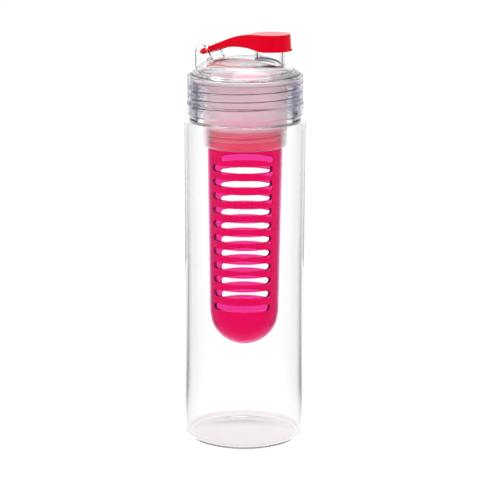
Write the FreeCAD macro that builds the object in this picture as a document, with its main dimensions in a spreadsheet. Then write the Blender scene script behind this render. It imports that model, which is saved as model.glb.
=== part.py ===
import FreeCAD, Part
import os
import Sketcher

# Fruit infuser water bottle: a clear bottle with a screw lid, a flip cap on the lid's spout,
# and a slotted fruit basket that hangs in the bottle from a threaded collar.
#
# Frame: millimetres, origin at the middle of the base, +Z up. The flip cap lies along +X:
# its hinge is on the -X side of the lid, its head closes the spout on the +X side.

SIZES = [
    # bottle body
    ("body_diameter", 73.0),
    ("body_wall", 2.2),
    ("shoulder_height", 197.5),
    ("shoulder_wall", 2.6),
    ("shoulder_width", 5.1),
    ("shoulder_radius", 2.2),
    ("foot_radius", 2.6),
    ("foot_width", 5.2),
    ("floor_thickness", 3.0),
    ("floor_recess", 1.0),
    ("floor_corner_radius", 3.4),
    ("neck_wall", 2.8),
    ("neck_height", 22.8),
    ("neck_ring_step", 1.8),
    ("neck_ring_height", 3.0),
    # screw lid
    ("lid_gap", 0.4),
    ("lid_thread_room", 1.2),
    ("lid_wall", 2.1),
    ("lid_band_step", 0.45),
    ("lid_band_height", 7.0),
    ("lid_edge_height", 0.7),
    ("lid_edge_radius", 1.6),
    ("cone_width", 10.3),
    ("cone_rise", 7.5),
    ("crown_rise", 3.7),
    ("roof_wall", 2.4),
    ("roof_edge_inset", 0.6),
    ("seat_width", 5.1),
    # drinking spout
    ("spout_inset", 8.2),
    ("spout_diameter", 18.0),
    ("spout_wall", 1.8),
    ("spout_height", 10.3),
    # hinge of the flip cap
    ("hinge_inset", 9.3),
    ("hinge_rise", 5.5),
    ("ear_radius", 4.1),
    ("ear_lean", 30.0),
    ("ear_thickness", 3.0),
    ("ear_gap", 12.0),
    ("pin_radius", 0.9),
    ("pin_chamfer", 0.25),
    ("pin_press_clearance", 0.02),
    ("pin_running_clearance", 0.06),
    # flip cap
    ("barrel_radius", 1.7),
    ("barrel_side_clearance", 0.3),
    ("lever_slope", 21.2),
    ("arch_slope", 19.2),
    ("arch_fall", 12.9),
    ("lever_root_length", 7.5),
    ("crown_blend", 58.0),
    ("arch_blend", 53.0),
    ("arch_blend_share", 0.82),
    ("toe_blend", 25.0),
    ("toe_blend_share", 0.155),
    ("cap_height", 9.9),
    ("cap_wall", 2.0),
    ("cap_skin", 2.2),
    ("cap_spout_gap", 1.3),
    ("cap_edge_radius", 0.3),
    ("lip_reach", 0.8),
    ("lip_width", 9.0),
    ("lip_thickness", 1.3),
    # soft seal in the flip cap
    ("seal_thickness", 1.4),
    ("seal_gap", 0.1),
    ("seal_side_clearance", 0.2),
    ("plug_depth", 3.3),
    ("plug_top_clearance", 0.5),
    ("plug_taper", 0.5),
    # soft ring under the lid
    ("gasket_thickness", 1.4),
    ("gasket_width", 3.2),
    ("gasket_clearance", 0.3),
    # collar that carries the basket
    ("flange_thickness", 1.6),
    ("flange_inset", 0.3),
    ("collar_gap", 3.35),
    ("collar_wall", 1.75),
    ("collar_step", 1.6),
    ("collar_drop", 38.9),
    ("collar_chamfer", 1.1),
    # fruit basket
    ("basket_grip", 11.2),
    ("basket_thread_room", 0.6),
    ("basket_wall", 1.7),
    ("basket_length", 134.7),
    ("basket_taper", 1.75),
    ("slot_drop", 22.8),
    ("slot_rows", 11),
    ("slot_pitch", 8.53),
    ("slot_height", 4.0),
    ("slot_span", 104.0),
    ("slot_turn", 68.0),
    # how far cutting shapes run past the faces that they cut
    ("overcut", 3.0),
]

# Radii from the bottle's axis, levels above the base and places along X, worked out from the sizes.
LEVELS = [
    # bottle body
    ("body_radius", "=Sizes.body_diameter / 2"),
    ("body_bore_radius", "=body_radius - Sizes.body_wall"),
    ("recess_radius", "=body_radius - Sizes.foot_width"),
    ("floor_top", "=Sizes.floor_recess + Sizes.floor_thickness"),
    ("shoulder_inside", "=Sizes.shoulder_height - Sizes.shoulder_wall"),
    ("neck_radius", "=body_radius - Sizes.shoulder_width"),
    ("neck_bore_radius", "=neck_radius - Sizes.neck_wall"),
    ("neck_ring_radius", "=neck_radius + Sizes.neck_ring_step"),
    ("neck_ring_top", "=Sizes.shoulder_height + Sizes.neck_ring_height"),
    ("rim_level", "=Sizes.shoulder_height + Sizes.neck_height"),
    # collar, gasket and lid stacked on the rim
    ("flange_top", "=rim_level + Sizes.flange_thickness"),
    ("seat_level", "=flange_top + Sizes.gasket_thickness"),
    ("lid_bottom", "=neck_ring_top + Sizes.lid_gap"),
    ("lid_bore_radius", "=neck_radius + Sizes.lid_thread_room"),
    ("lid_radius", "=lid_bore_radius + Sizes.lid_wall"),
    ("band_radius", "=lid_radius + Sizes.lid_band_step"),
    ("band_top", "=lid_bottom + Sizes.lid_band_height"),
    ("band_chamfer_top", "=band_top + Sizes.lid_band_step"),
    ("lid_edge_level", "=seat_level + Sizes.lid_edge_height"),
    ("crown_radius", "=lid_radius - Sizes.cone_width"),
    ("crown_edge_level", "=lid_edge_level + Sizes.cone_rise"),
    ("apex_level", "=crown_edge_level + Sizes.crown_rise"),
    # underside of the lid: the roof keeps its wall along the cone and under the crown
    ("seat_inner_radius", "=lid_bore_radius - Sizes.seat_width"),
    ("cone_grade", "=Sizes.cone_rise / Sizes.cone_width"),
    ("roof_drop", "=Sizes.roof_wall * sqrt(1 + cone_grade ^ 2)"),
    ("roof_inner_radius", "=crown_radius - Sizes.roof_edge_inset"),
    ("roof_inner_level", "=crown_edge_level + Sizes.roof_edge_inset * cone_grade - roof_drop"),
    ("roof_foot_level", "=crown_edge_level - (seat_inner_radius - crown_radius) * cone_grade - roof_drop"),
    ("roof_apex_level", "=apex_level - Sizes.roof_wall"),
    ("below_lid", "=lid_bottom - Sizes.overcut"),
    # spout
    ("spout_offset", "=crown_radius - Sizes.spout_inset"),
    ("spout_radius", "=Sizes.spout_diameter / 2"),
    ("spout_bore_radius", "=spout_radius - Sizes.spout_wall"),
    ("spout_top", "=apex_level + Sizes.spout_height"),
    ("spout_length", "=spout_top - seat_level"),
    # hinge
    ("hinge_offset", "=lid_radius - Sizes.hinge_inset"),
    ("hinge_level", "=crown_edge_level + Sizes.hinge_rise"),
    ("ear_back", "=hinge_offset + Sizes.ear_radius"),
    ("ear_turn_back", "=hinge_offset - Sizes.ear_radius * cos(Sizes.ear_lean * 1 deg)"),
    ("ear_turn_level", "=hinge_level + Sizes.ear_radius * sin(Sizes.ear_lean * 1 deg)"),
    ("ear_front", "=ear_turn_back - (ear_turn_level - seat_level) * tan(Sizes.ear_lean * 1 deg)"),
    ("ear_inner_face", "=Sizes.ear_gap / 2"),
    ("ear_hole_radius", "=Sizes.pin_radius + Sizes.pin_press_clearance"),
    ("barrel_hole_radius", "=Sizes.pin_radius + Sizes.pin_running_clearance"),
    ("pin_length", "=Sizes.ear_gap + 2 * Sizes.ear_thickness"),
    ("barrel_length", "=Sizes.ear_gap - 2 * Sizes.barrel_side_clearance"),
    ("barrel_half_length", "=barrel_length / 2"),
    # side view of the flip cap: slope up from the barrel, flat head, arch underneath
    ("seal_bottom", "=spout_top + Sizes.seal_gap"),
    ("cap_ceiling", "=seal_bottom + Sizes.seal_thickness"),
    ("cap_top", "=cap_ceiling + Sizes.cap_skin"),
    ("cap_bottom", "=cap_top - Sizes.cap_height"),
    ("cap_bore_radius", "=spout_radius + Sizes.cap_spout_gap"),
    ("cap_head_radius", "=cap_bore_radius + Sizes.cap_wall"),
    ("cap_reach", "=spout_offset + cap_head_radius + Sizes.overcut"),
    ("cap_blank_half_width", "=cap_head_radius + Sizes.overcut"),
    ("cap_blank_width", "=2 * cap_blank_half_width"),
    ("cap_blank_back", "=root_back + Sizes.overcut"),
    ("cap_blank_reach", "=cap_reach + Sizes.overcut"),
    ("cup_depth", "=cap_ceiling - cap_bottom + Sizes.overcut"),
    ("lever_grade", "=tan(Sizes.lever_slope * 1 deg)"),
    ("slope_start_back", "=hinge_offset + Sizes.barrel_radius * sin(Sizes.lever_slope * 1 deg)"),
    ("slope_start_level", "=hinge_level + Sizes.barrel_radius * cos(Sizes.lever_slope * 1 deg)"),
    ("slope_end_back", "=slope_start_back - (cap_top - slope_start_level) / lever_grade"),
    ("arch_start_back", "=hinge_offset - Sizes.barrel_radius * sin(Sizes.arch_slope * 1 deg)"),
    ("arch_start_level", "=hinge_level - Sizes.barrel_radius * cos(Sizes.arch_slope * 1 deg)"),
    ("arch_span", "=spout_offset + arch_start_back"),
    ("arch_grade", "=tan(Sizes.arch_slope * 1 deg)"),
    ("fall_grade", "=tan(Sizes.arch_fall * 1 deg)"),
    ("arch_peak_run", "=(arch_span * fall_grade + cap_bottom - arch_start_level)"
                      " / (arch_grade + fall_grade)"),
    ("arch_peak_back", "=arch_start_back - arch_peak_run"),
    ("arch_peak_level", "=arch_start_level + arch_peak_run * arch_grade"),
    # the arch's two roundings take up no more than their shares of its falling side
    ("fall_length", "=(arch_span - arch_peak_run) * sqrt(1 + fall_grade ^ 2)"),
    ("arch_half_turn", "=(Sizes.arch_slope + Sizes.arch_fall) / 2"),
    ("arch_room", "=Sizes.arch_blend_share * fall_length / tan(arch_half_turn * 1 deg)"),
    ("arch_round", "=min(Sizes.arch_blend; arch_room)"),
    ("toe_room", "=Sizes.toe_blend_share * fall_length / tan(Sizes.arch_fall / 2 * 1 deg)"),
    ("toe_round", "=min(Sizes.toe_blend; toe_room)"),
    # plan view of the flip cap: narrow root between the ears, then flaring to the round head
    ("root_back", "=hinge_offset + Sizes.barrel_radius + Sizes.overcut"),
    ("root_front", "=hinge_offset - Sizes.lever_root_length"),
    ("flare_run", "=root_front + spout_offset"),
    ("flare_length", "=sqrt(flare_run ^ 2 + barrel_half_length ^ 2)"),
    ("flare_angle", "=acos(cap_head_radius / flare_length) + atan(barrel_half_length / flare_run)"),
    ("flare_end_x", "=spout_offset - cap_head_radius * cos(flare_angle)"),
    ("flare_end_y", "=cap_head_radius * sin(flare_angle)"),
    # hollow under the lever, with the same wall all round
    ("hollow_half_width", "=barrel_half_length - Sizes.cap_wall"),
    ("hollow_back", "=hinge_offset - Sizes.barrel_radius - Sizes.cap_wall"),
    ("hollow_flare_half_width", "=flare_end_y - Sizes.cap_wall"),
    ("hollow_skin_drop", "=Sizes.cap_skin / cos(Sizes.lever_slope * 1 deg)"),
    ("hollow_slope_run", "=slope_start_back - hollow_back"),
    ("hollow_slope_level", "=slope_start_level + hollow_slope_run * lever_grade - hollow_skin_drop"),
    ("hollow_knee_back", "=slope_end_back - (hollow_skin_drop - Sizes.cap_skin) / lever_grade"),
    ("hollow_blend", "=Sizes.crown_blend - Sizes.cap_skin"),
    ("hollow_floor", "=arch_start_level - Sizes.overcut"),
    # lip
    ("lip_start", "=spout_offset + cap_bore_radius + Sizes.cap_wall / 2"),
    ("lip_end", "=spout_offset + cap_head_radius + Sizes.lip_reach"),
    ("lip_half_width", "=Sizes.lip_width / 2"),
    # seal
    ("seal_radius", "=cap_bore_radius - Sizes.seal_side_clearance"),
    ("plug_top_radius", "=spout_bore_radius - Sizes.plug_top_clearance"),
    ("plug_end_radius", "=plug_top_radius - Sizes.plug_taper"),
    ("plug_bottom", "=seal_bottom - Sizes.plug_depth"),
    # gasket
    ("gasket_inner_radius", "=seat_inner_radius + Sizes.gasket_clearance"),
    ("gasket_outer_radius", "=gasket_inner_radius + Sizes.gasket_width"),
    # collar
    ("flange_radius", "=neck_radius - Sizes.flange_inset"),
    ("collar_radius", "=neck_bore_radius - Sizes.collar_gap"),
    ("collar_bore_radius", "=collar_radius - Sizes.collar_wall"),
    ("collar_throat_radius", "=collar_bore_radius - Sizes.collar_step"),
    ("collar_bottom", "=rim_level - Sizes.collar_drop"),
    ("basket_top", "=collar_bottom + Sizes.basket_grip"),
    # basket
    ("basket_radius", "=collar_bore_radius - Sizes.basket_thread_room"),
    ("basket_inner_radius", "=basket_radius - Sizes.basket_wall"),
    ("basket_end_radius", "=basket_radius - Sizes.basket_taper"),
    ("basket_end_inner_radius", "=basket_end_radius - Sizes.basket_wall"),
    ("basket_bottom", "=basket_top - Sizes.basket_length"),
    ("basket_end_level", "=basket_bottom + basket_end_radius"),
    ("basket_floor", "=basket_bottom + Sizes.basket_wall"),
    # slots: a level cut round the wall, with a round hole at each end
    ("slot_level", "=basket_top - Sizes.slot_drop"),
    ("slot_low", "=slot_level - Sizes.slot_height / 2"),
    ("slot_high", "=slot_level + Sizes.slot_height / 2"),
    ("slot_end_radius", "=Sizes.slot_height / 2"),
    ("slot_near_radius", "=basket_end_inner_radius - Sizes.overcut"),
    ("slot_far_radius", "=basket_radius + Sizes.overcut"),
    ("slot_end_angle", "=Sizes.slot_span / 2 - asin(slot_end_radius / basket_radius) / 1 deg"),
    ("slot_sweep", "=2 * slot_end_angle"),
    ("slot_rows_length", "=Sizes.slot_pitch * (Sizes.slot_rows - 1)"),
]

# How close two places count as one, and how steeply a face looks up to count as an upper face.
TOUCH = 1e-4
UPWARD = 0.5

doc = FreeCAD.newDocument("InfuserBottle")


def sheet(name, rows):
    """A sheet with one named cell for each row."""
    table = doc.addObject("Spreadsheet::Sheet", name)
    for number, (alias, content) in enumerate(rows, start=1):
        table.set("A%d" % number, alias)
        table.set("B%d" % number, str(content))
        table.setAlias("B%d" % number, alias)
    return table


sizes = sheet("Sizes", SIZES)
levels = sheet("Levels", LEVELS)
doc.recompute()
CELLS = {name: "Sizes." + name for name, _ in SIZES}
CELLS.update({name: "Levels." + name for name, _ in LEVELS})


def value(name):
    """The number in a named cell."""
    table = sizes if CELLS[name].startswith("Sizes.") else levels
    return float(table.get(name))


def bind(thing, path, name):
    """Tie a property of an object to a named cell."""
    thing.setExpression(path, CELLS[name])


def new_body(label):
    body = doc.addObject("PartDesign::Body", label)
    body.Label = label
    return body


def origin(body, role):
    """One of the body's own origin planes or axes."""
    return next(item for item in body.Origin.OriginFeatures if item.Role == role)


def new_sketch(body, name, plane, lift=None):
    """A sketch on an origin plane, lifted along the plane's normal by a named distance."""
    sketch = body.newObject("Sketcher::SketchObject", name)
    sketch.AttachmentSupport = (origin(body, plane), [""])
    sketch.MapMode = "FlatFace"
    if lift:
        bind(sketch, "AttachmentOffset.Base.z", lift)
    return sketch


def signed(name):
    """Number for a coordinate: a cell's name, the name with a minus sign, or 0."""
    if name == "0":
        return 0.0
    return -value(name[1:]) if name.startswith("-") else value(name)


def hold(sketch, kind, axis, geometry, corner, name):
    """Hold one coordinate of a point at a named value, or on the axis where it is 0."""
    if name == "0":
        sketch.addConstraint(Sketcher.Constraint("PointOnObject", geometry, corner, axis))
        return
    ends = (-1, 1, geometry, corner)
    cell = name
    if name.startswith("-"):
        ends = (geometry, corner, -1, 1)
        cell = name[1:]
    index = sketch.addConstraint(Sketcher.Constraint(kind, *ends, value(cell)))
    sketch.setExpression("Constraints[%d]" % index, CELLS[cell])


def pin_point(sketch, geometry, corner, x, y):
    """Hold both coordinates of a point at named values."""
    hold(sketch, "DistanceX", -2, geometry, corner, x)
    hold(sketch, "DistanceY", -1, geometry, corner, y)


def outline(sketch, corners, arcs=None):
    """Closed outline through named corners, listed in turn.

    arcs maps a run's number to True where the arc turns anticlockwise along the outline and
    False where it turns clockwise; such an arc has its centre on the upright axis.
    """
    arcs = arcs or {}
    first = sketch.GeometryCount
    points = [FreeCAD.Vector(signed(x), signed(y), 0) for x, y in corners]
    ends = {}
    for run, (start, stop) in enumerate(zip(points, points[1:] + points[:1])):
        if run in arcs:
            height = (stop.x ** 2 + stop.y ** 2 - start.x ** 2 - start.y ** 2) / (2 * (stop.y - start.y))
            circle = Part.Circle(FreeCAD.Vector(0, height, 0), FreeCAD.Vector(0, 0, 1),
                                 start.distanceToPoint(FreeCAD.Vector(0, height, 0)))
            low, high = (start, stop) if arcs[run] else (stop, start)
            sketch.addGeometry(Part.ArcOfCircle(circle, circle.parameter(low), circle.parameter(high)))
            ends[run] = (1, 2) if arcs[run] else (2, 1)
        else:
            sketch.addGeometry(Part.LineSegment(start, stop))
            ends[run] = (1, 2)
    count = len(points)
    for run in range(count):
        after = (run + 1) % count
        sketch.addConstraint(Sketcher.Constraint("Coincident", first + run, ends[run][1],
                                                 first + after, ends[after][0]))
        pin_point(sketch, first + run, ends[run][0], *corners[run])
    for run in arcs:
        sketch.addConstraint(Sketcher.Constraint("PointOnObject", first + run, 3, -2))
    return sketch


def circle(sketch, x, y, radius):
    """A circle of named radius at a named point."""
    centre = FreeCAD.Vector(signed(x), signed(y), 0)
    number = sketch.addGeometry(Part.Circle(centre, FreeCAD.Vector(0, 0, 1), value(radius)))
    pin_point(sketch, number, 3, x, y)
    index = sketch.addConstraint(Sketcher.Constraint("Radius", number, value(radius)))
    sketch.setExpression("Constraints[%d]" % index, CELLS[radius])
    return sketch


def turned(body, kind, name, sketch, angle=None):
    """Revolve or groove a sketch about the body's upright axis."""
    feature = body.newObject(kind, name)
    feature.Profile = sketch
    feature.ReferenceAxis = (sketch, ["V_Axis"])
    if angle:
        feature.Midplane = True
        bind(feature, "Angle", angle)
    return feature


def raised(body, name, sketch, length, midplane=False):
    """Pad a sketch by a named length."""
    pad = body.newObject("PartDesign::Pad", name)
    pad.Profile = sketch
    pad.Midplane = midplane
    bind(pad, "Length", length)
    return pad


def cut(body, name, sketch, length=None):
    """Pocket a sketch to a named depth, or right through on both sides."""
    pocket = body.newObject("PartDesign::Pocket", name)
    pocket.Profile = sketch
    if length:
        bind(pocket, "Length", length)
    else:
        pocket.Type = "ThroughAll"
        pocket.Midplane = True
    return pocket


def ring_edges(feature, rings):
    """Names of the level round edges at the named (radius, height) pairs."""
    found = []
    for number, edge in enumerate(feature.Shape.Edges, start=1):
        if edge.Degenerated or not isinstance(edge.Curve, Part.Circle):
            continue
        for radius, height in rings:
            wide = abs(edge.Curve.Radius - value(radius)) < TOUCH
            if wide and abs(edge.Curve.Center.z - signed(height)) < TOUCH:
                found.append("Edge%d" % number)
    return found


def straight_edges(feature, along, spot):
    """Names of the edges that run along one axis through a spot, given by its other coordinates."""
    found = []
    for number, edge in enumerate(feature.Shape.Edges, start=1):
        ends = [vertex.Point - spot for vertex in edge.Vertexes]
        off_axis = [end - along * end.dot(along) for end in ends]
        if len(ends) == 2 and all(miss.Length < TOUCH for miss in off_axis):
            found.append("Edge%d" % number)
    return found


def cross_edge(feature, x, z):
    """Names of the edges that run along Y through a named (x, z) place."""
    return straight_edges(feature, FreeCAD.Vector(0, 1, 0), FreeCAD.Vector(signed(x), 0, signed(z)))


def rounded(body, name, base, edges, radius):
    """Fillet the named edges of the last feature."""
    fillet = body.newObject("PartDesign::Fillet", name)
    fillet.Base = (base, edges)
    bind(fillet, "Radius", radius)
    doc.recompute()
    return fillet


def bevelled(body, name, base, edges, size):
    """Chamfer the named edges of the last feature."""
    chamfer = body.newObject("PartDesign::Chamfer", name)
    chamfer.Base = (base, edges)
    bind(chamfer, "Size", size)
    doc.recompute()
    return chamfer


def make_bottle_body():
    """Clear bottle: recessed base on a standing ring, straight wall, short shoulder, screw neck."""
    body = new_body("bottle_body")
    section = outline(new_sketch(body, "BottleSection", "XZ_Plane"), [
        ("0", "floor_recess"),
        ("recess_radius", "floor_recess"),
        ("recess_radius", "0"),
        ("body_radius", "0"),
        ("body_radius", "shoulder_height"),
        ("neck_ring_radius", "shoulder_height"),
        ("neck_ring_radius", "neck_ring_top"),
        ("neck_radius", "neck_ring_top"),
        ("neck_radius", "rim_level"),
        ("neck_bore_radius", "rim_level"),
        ("neck_bore_radius", "shoulder_inside"),
        ("body_bore_radius", "shoulder_inside"),
        ("body_bore_radius", "floor_top"),
        ("0", "floor_top"),
    ])
    shell = turned(body, "PartDesign::Revolution", "BottleShell", section)
    doc.recompute()
    base = rounded(body, "FootEdge", shell, ring_edges(shell, [("body_radius", "0")]), "foot_radius")
    edge = ring_edges(base, [("body_radius", "shoulder_height")])
    shoulder = rounded(body, "ShoulderEdge", base, edge, "shoulder_radius")
    inner = ring_edges(shoulder, [("body_bore_radius", "floor_top")])
    rounded(body, "FloorCorner", shoulder, inner, "floor_corner_radius")
    return body


def make_lid():
    """Clear screw lid: banded skirt, cone and crown, two hinge ears and the drinking spout."""
    body = new_body("lid")
    section = outline(new_sketch(body, "LidOutside", "XZ_Plane"), [
        ("0", "lid_bottom"),
        ("band_radius", "lid_bottom"),
        ("band_radius", "band_top"),
        ("lid_radius", "band_chamfer_top"),
        ("lid_radius", "lid_edge_level"),
        ("crown_radius", "crown_edge_level"),
        ("0", "apex_level"),
    ], {5: True})
    outside = turned(body, "PartDesign::Revolution", "LidBlank", section)
    doc.recompute()
    edge = ring_edges(outside, [("lid_radius", "lid_edge_level")])
    rounded(body, "LidEdge", outside, edge, "lid_edge_radius")

    spout = circle(new_sketch(body, "SpoutOutside", "XY_Plane", "seat_level"), "spout_offset", "0",
                   "spout_radius")
    raised(body, "Spout", spout, "spout_length")

    ear = ear_outline(new_sketch(body, "EarSide", "XZ_Plane", "ear_inner_face"))
    near_ear = raised(body, "NearEar", ear, "ear_thickness")
    doc.recompute()
    pair = body.newObject("PartDesign::Mirrored", "EarPair")
    pair.Originals = [near_ear]
    pair.MirrorPlane = (origin(body, "XZ_Plane"), [""])
    body.Tip = pair
    doc.recompute()

    hollow = outline(new_sketch(body, "LidInside", "XZ_Plane"), [
        ("0", "below_lid"),
        ("lid_bore_radius", "below_lid"),
        ("lid_bore_radius", "seat_level"),
        ("seat_inner_radius", "seat_level"),
        ("seat_inner_radius", "roof_foot_level"),
        ("roof_inner_radius", "roof_inner_level"),
        ("0", "roof_apex_level"),
    ], {5: True})
    turned(body, "PartDesign::Groove", "LidHollow", hollow)
    doc.recompute()

    bore = circle(new_sketch(body, "SpoutInside", "XY_Plane", "spout_top"), "spout_offset", "0",
                  "spout_bore_radius")
    cut(body, "SpoutBore", bore, "spout_length")
    hole = circle(new_sketch(body, "PinHole", "XZ_Plane"), "-hinge_offset", "hinge_level",
                  "ear_hole_radius")
    cut(body, "EarHoles", hole)
    doc.recompute()
    return body


def ear_outline(sketch):
    """Ear seen from the side: upright back edge, round top about the hinge axis, leaning front edge."""
    back, foot, hinge = signed("-ear_back"), value("seat_level"), value("hinge_level")
    corners = [FreeCAD.Vector(signed("-ear_turn_back"), value("ear_turn_level"), 0),
               FreeCAD.Vector(back, hinge, 0), FreeCAD.Vector(back, foot, 0),
               FreeCAD.Vector(signed("-ear_front"), foot, 0)]
    middle = FreeCAD.Vector(signed("-hinge_offset"), hinge, 0)
    top = Part.Circle(middle, FreeCAD.Vector(0, 0, 1), value("ear_radius"))
    sketch.addGeometry(Part.ArcOfCircle(top, top.parameter(corners[0]), top.parameter(corners[1])))
    for start, stop in zip(corners[1:], corners[2:] + corners[:1]):
        sketch.addGeometry(Part.LineSegment(start, stop))
    for run in range(4):
        sketch.addConstraint(Sketcher.Constraint("Coincident", run, 2, (run + 1) % 4, 1))
    pin_point(sketch, 0, 3, "-hinge_offset", "hinge_level")
    pin_point(sketch, 1, 1, "-ear_back", "hinge_level")
    pin_point(sketch, 2, 1, "-ear_back", "seat_level")
    pin_point(sketch, 3, 1, "-ear_front", "seat_level")
    hold(sketch, "DistanceY", -1, 0, 1, "ear_turn_level")
    return sketch


def make_lid_gasket():
    """Flat soft ring between the collar's flange and the lid."""
    body = new_body("lid_gasket")
    section = outline(new_sketch(body, "GasketSection", "XZ_Plane"), [
        ("gasket_inner_radius", "flange_top"),
        ("gasket_outer_radius", "flange_top"),
        ("gasket_outer_radius", "seat_level"),
        ("gasket_inner_radius", "seat_level"),
    ])
    turned(body, "PartDesign::Revolution", "GasketRing", section)
    return body


def make_infuser_collar():
    """Frosted collar: a flange on the bottle's rim, a throat, and the socket for the basket."""
    body = new_body("infuser_collar")
    section = outline(new_sketch(body, "CollarSection", "XZ_Plane"), [
        ("collar_throat_radius", "basket_top"),
        ("collar_bore_radius", "basket_top"),
        ("collar_bore_radius", "collar_bottom"),
        ("collar_radius", "collar_bottom"),
        ("collar_radius", "rim_level"),
        ("flange_radius", "rim_level"),
        ("flange_radius", "flange_top"),
        ("collar_throat_radius", "flange_top"),
    ])
    ring = turned(body, "PartDesign::Revolution", "CollarRing", section)
    doc.recompute()
    edge = ring_edges(ring, [("collar_radius", "collar_bottom")])
    bevelled(body, "CollarFoot", ring, edge, "collar_chamfer")
    return body


def make_infuser_basket():
    """Fruit basket: tapered tube with a round closed end and level slots on two opposite sides."""
    body = new_body("infuser_basket")
    section = outline(new_sketch(body, "BasketSection", "XZ_Plane"), [
        ("0", "basket_bottom"),
        ("basket_end_radius", "basket_end_level"),
        ("basket_radius", "basket_top"),
        ("basket_inner_radius", "basket_top"),
        ("basket_end_inner_radius", "basket_end_level"),
        ("0", "basket_floor"),
    ], {0: True, 4: False})
    turned(body, "PartDesign::Revolution", "BasketShell", section)
    doc.recompute()

    level_cut = new_sketch(body, "SlotSection", "XZ_Plane")
    for side in ("", "-"):
        outline(level_cut, [
            (side + "slot_near_radius", "slot_low"),
            (side + "slot_far_radius", "slot_low"),
            (side + "slot_far_radius", "slot_high"),
            (side + "slot_near_radius", "slot_high"),
        ])
    slot = turned(body, "PartDesign::Groove", "SlotPair", level_cut, "slot_sweep")
    doc.recompute()

    parts = [slot]
    for name, sign in (("Left", "-"), ("Right", "")):
        end = circle(new_sketch(body, "SlotEnd" + name, "YZ_Plane"), "0", "slot_level", "slot_end_radius")
        end.AttachmentOffset.Rotation = FreeCAD.Rotation(FreeCAD.Vector(0, 1, 0), value("slot_end_angle"))
        end.setExpression("AttachmentOffset.Rotation.Angle", sign + CELLS["slot_end_angle"])
        parts.append(cut(body, "SlotRound" + name, end))
        doc.recompute()

    rows = body.newObject("PartDesign::LinearPattern", "SlotRows")
    rows.Originals = parts
    rows.Direction = (origin(body, "Z_Axis"), [""])
    rows.Reversed = True
    bind(rows, "Length", "slot_rows_length")
    bind(rows, "Occurrences", "slot_rows")
    body.Tip = rows
    doc.recompute()

    body.Placement.Rotation = FreeCAD.Rotation(FreeCAD.Vector(0, 0, -1), value("slot_turn"))
    bind(body, "Placement.Rotation.Angle", "slot_turn")
    return body


def cap_plan(sketch):
    """Plan of the flip cap: parallel root, straight flares, and the round head that they run into."""
    corners = [("-root_back", "barrel_half_length"), ("-root_back", "-barrel_half_length"),
               ("-root_front", "-barrel_half_length"), ("flare_end_x", "-flare_end_y"),
               ("flare_end_x", "flare_end_y"), ("-root_front", "barrel_half_length")]
    head_run = 3
    first = sketch.GeometryCount
    points = [FreeCAD.Vector(signed(x), signed(y), 0) for x, y in corners]
    head = Part.Circle(FreeCAD.Vector(value("spout_offset"), 0, 0), FreeCAD.Vector(0, 0, 1),
                       value("cap_head_radius"))
    for run, (start, stop) in enumerate(zip(points, points[1:] + points[:1])):
        if run == head_run:
            sketch.addGeometry(Part.ArcOfCircle(head, head.parameter(start), head.parameter(stop)))
        else:
            sketch.addGeometry(Part.LineSegment(start, stop))
    for run, (x, y) in enumerate(corners):
        after = (run + 1) % len(corners)
        sketch.addConstraint(Sketcher.Constraint("Coincident", first + run, 2, first + after, 1))
        pin_point(sketch, first + run, 1, x, y)
    hold(sketch, "DistanceX", -2, first + head_run, 3, "spout_offset")
    return sketch


def frame_outline(sketch):
    """Rectangle well outside the flip cap's plan."""
    return outline(sketch, [
        ("-cap_blank_back", "-cap_blank_half_width"),
        ("cap_blank_reach", "-cap_blank_half_width"),
        ("cap_blank_reach", "cap_blank_half_width"),
        ("-cap_blank_back", "cap_blank_half_width"),
    ])


def top_rim_edges(feature):
    """Names of the edges between the cap's upper faces and its upright sides."""
    upright, upper = [], []
    for face in feature.Shape.Faces:
        low_u, high_u, low_v, high_v = face.ParameterRange
        normal = face.normalAt((low_u + high_u) / 2, (low_v + high_v) / 2)
        if abs(normal.z) < TOUCH:
            upright.append(face)
        elif normal.z > UPWARD:
            upper.append(face)
    found = []
    for number, edge in enumerate(feature.Shape.Edges, start=1):
        on_side = any(edge.isSame(other) for face in upright for other in face.Edges)
        if on_side and any(edge.isSame(other) for face in upper for other in face.Edges):
            found.append("Edge%d" % number)
    return found


def make_lever_hollow():
    """Room under the lever: its roof follows the slope, its sides follow the flares."""
    body = new_body("lever_hollow")
    side = outline(new_sketch(body, "HollowSide", "XZ_Plane"), [
        ("-hollow_back", "hollow_floor"),
        ("cap_reach", "hollow_floor"),
        ("cap_reach", "cap_ceiling"),
        ("-hollow_knee_back", "cap_ceiling"),
        ("-hollow_back", "hollow_slope_level"),
    ])
    blank = raised(body, "HollowBlank", side, "cap_blank_width", midplane=True)
    doc.recompute()
    knee = cross_edge(blank, "-hollow_knee_back", "cap_ceiling")
    rounded(body, "HollowKnee", blank, knee, "hollow_blend")
    trim = frame_outline(new_sketch(body, "HollowPlan", "XY_Plane"))
    outline(trim, [
        ("-hollow_back", "-hollow_half_width"),
        ("-root_front", "-hollow_half_width"),
        ("spout_offset", "-hollow_flare_half_width"),
        ("spout_offset", "hollow_flare_half_width"),
        ("-root_front", "hollow_half_width"),
        ("-hollow_back", "hollow_half_width"),
    ])
    cut(body, "HollowSides", trim)
    head = circle(new_sketch(body, "CupWall", "XY_Plane"), "spout_offset", "0", "cap_head_radius")
    cut(body, "HollowEnd", head)
    doc.recompute()
    return body


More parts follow.
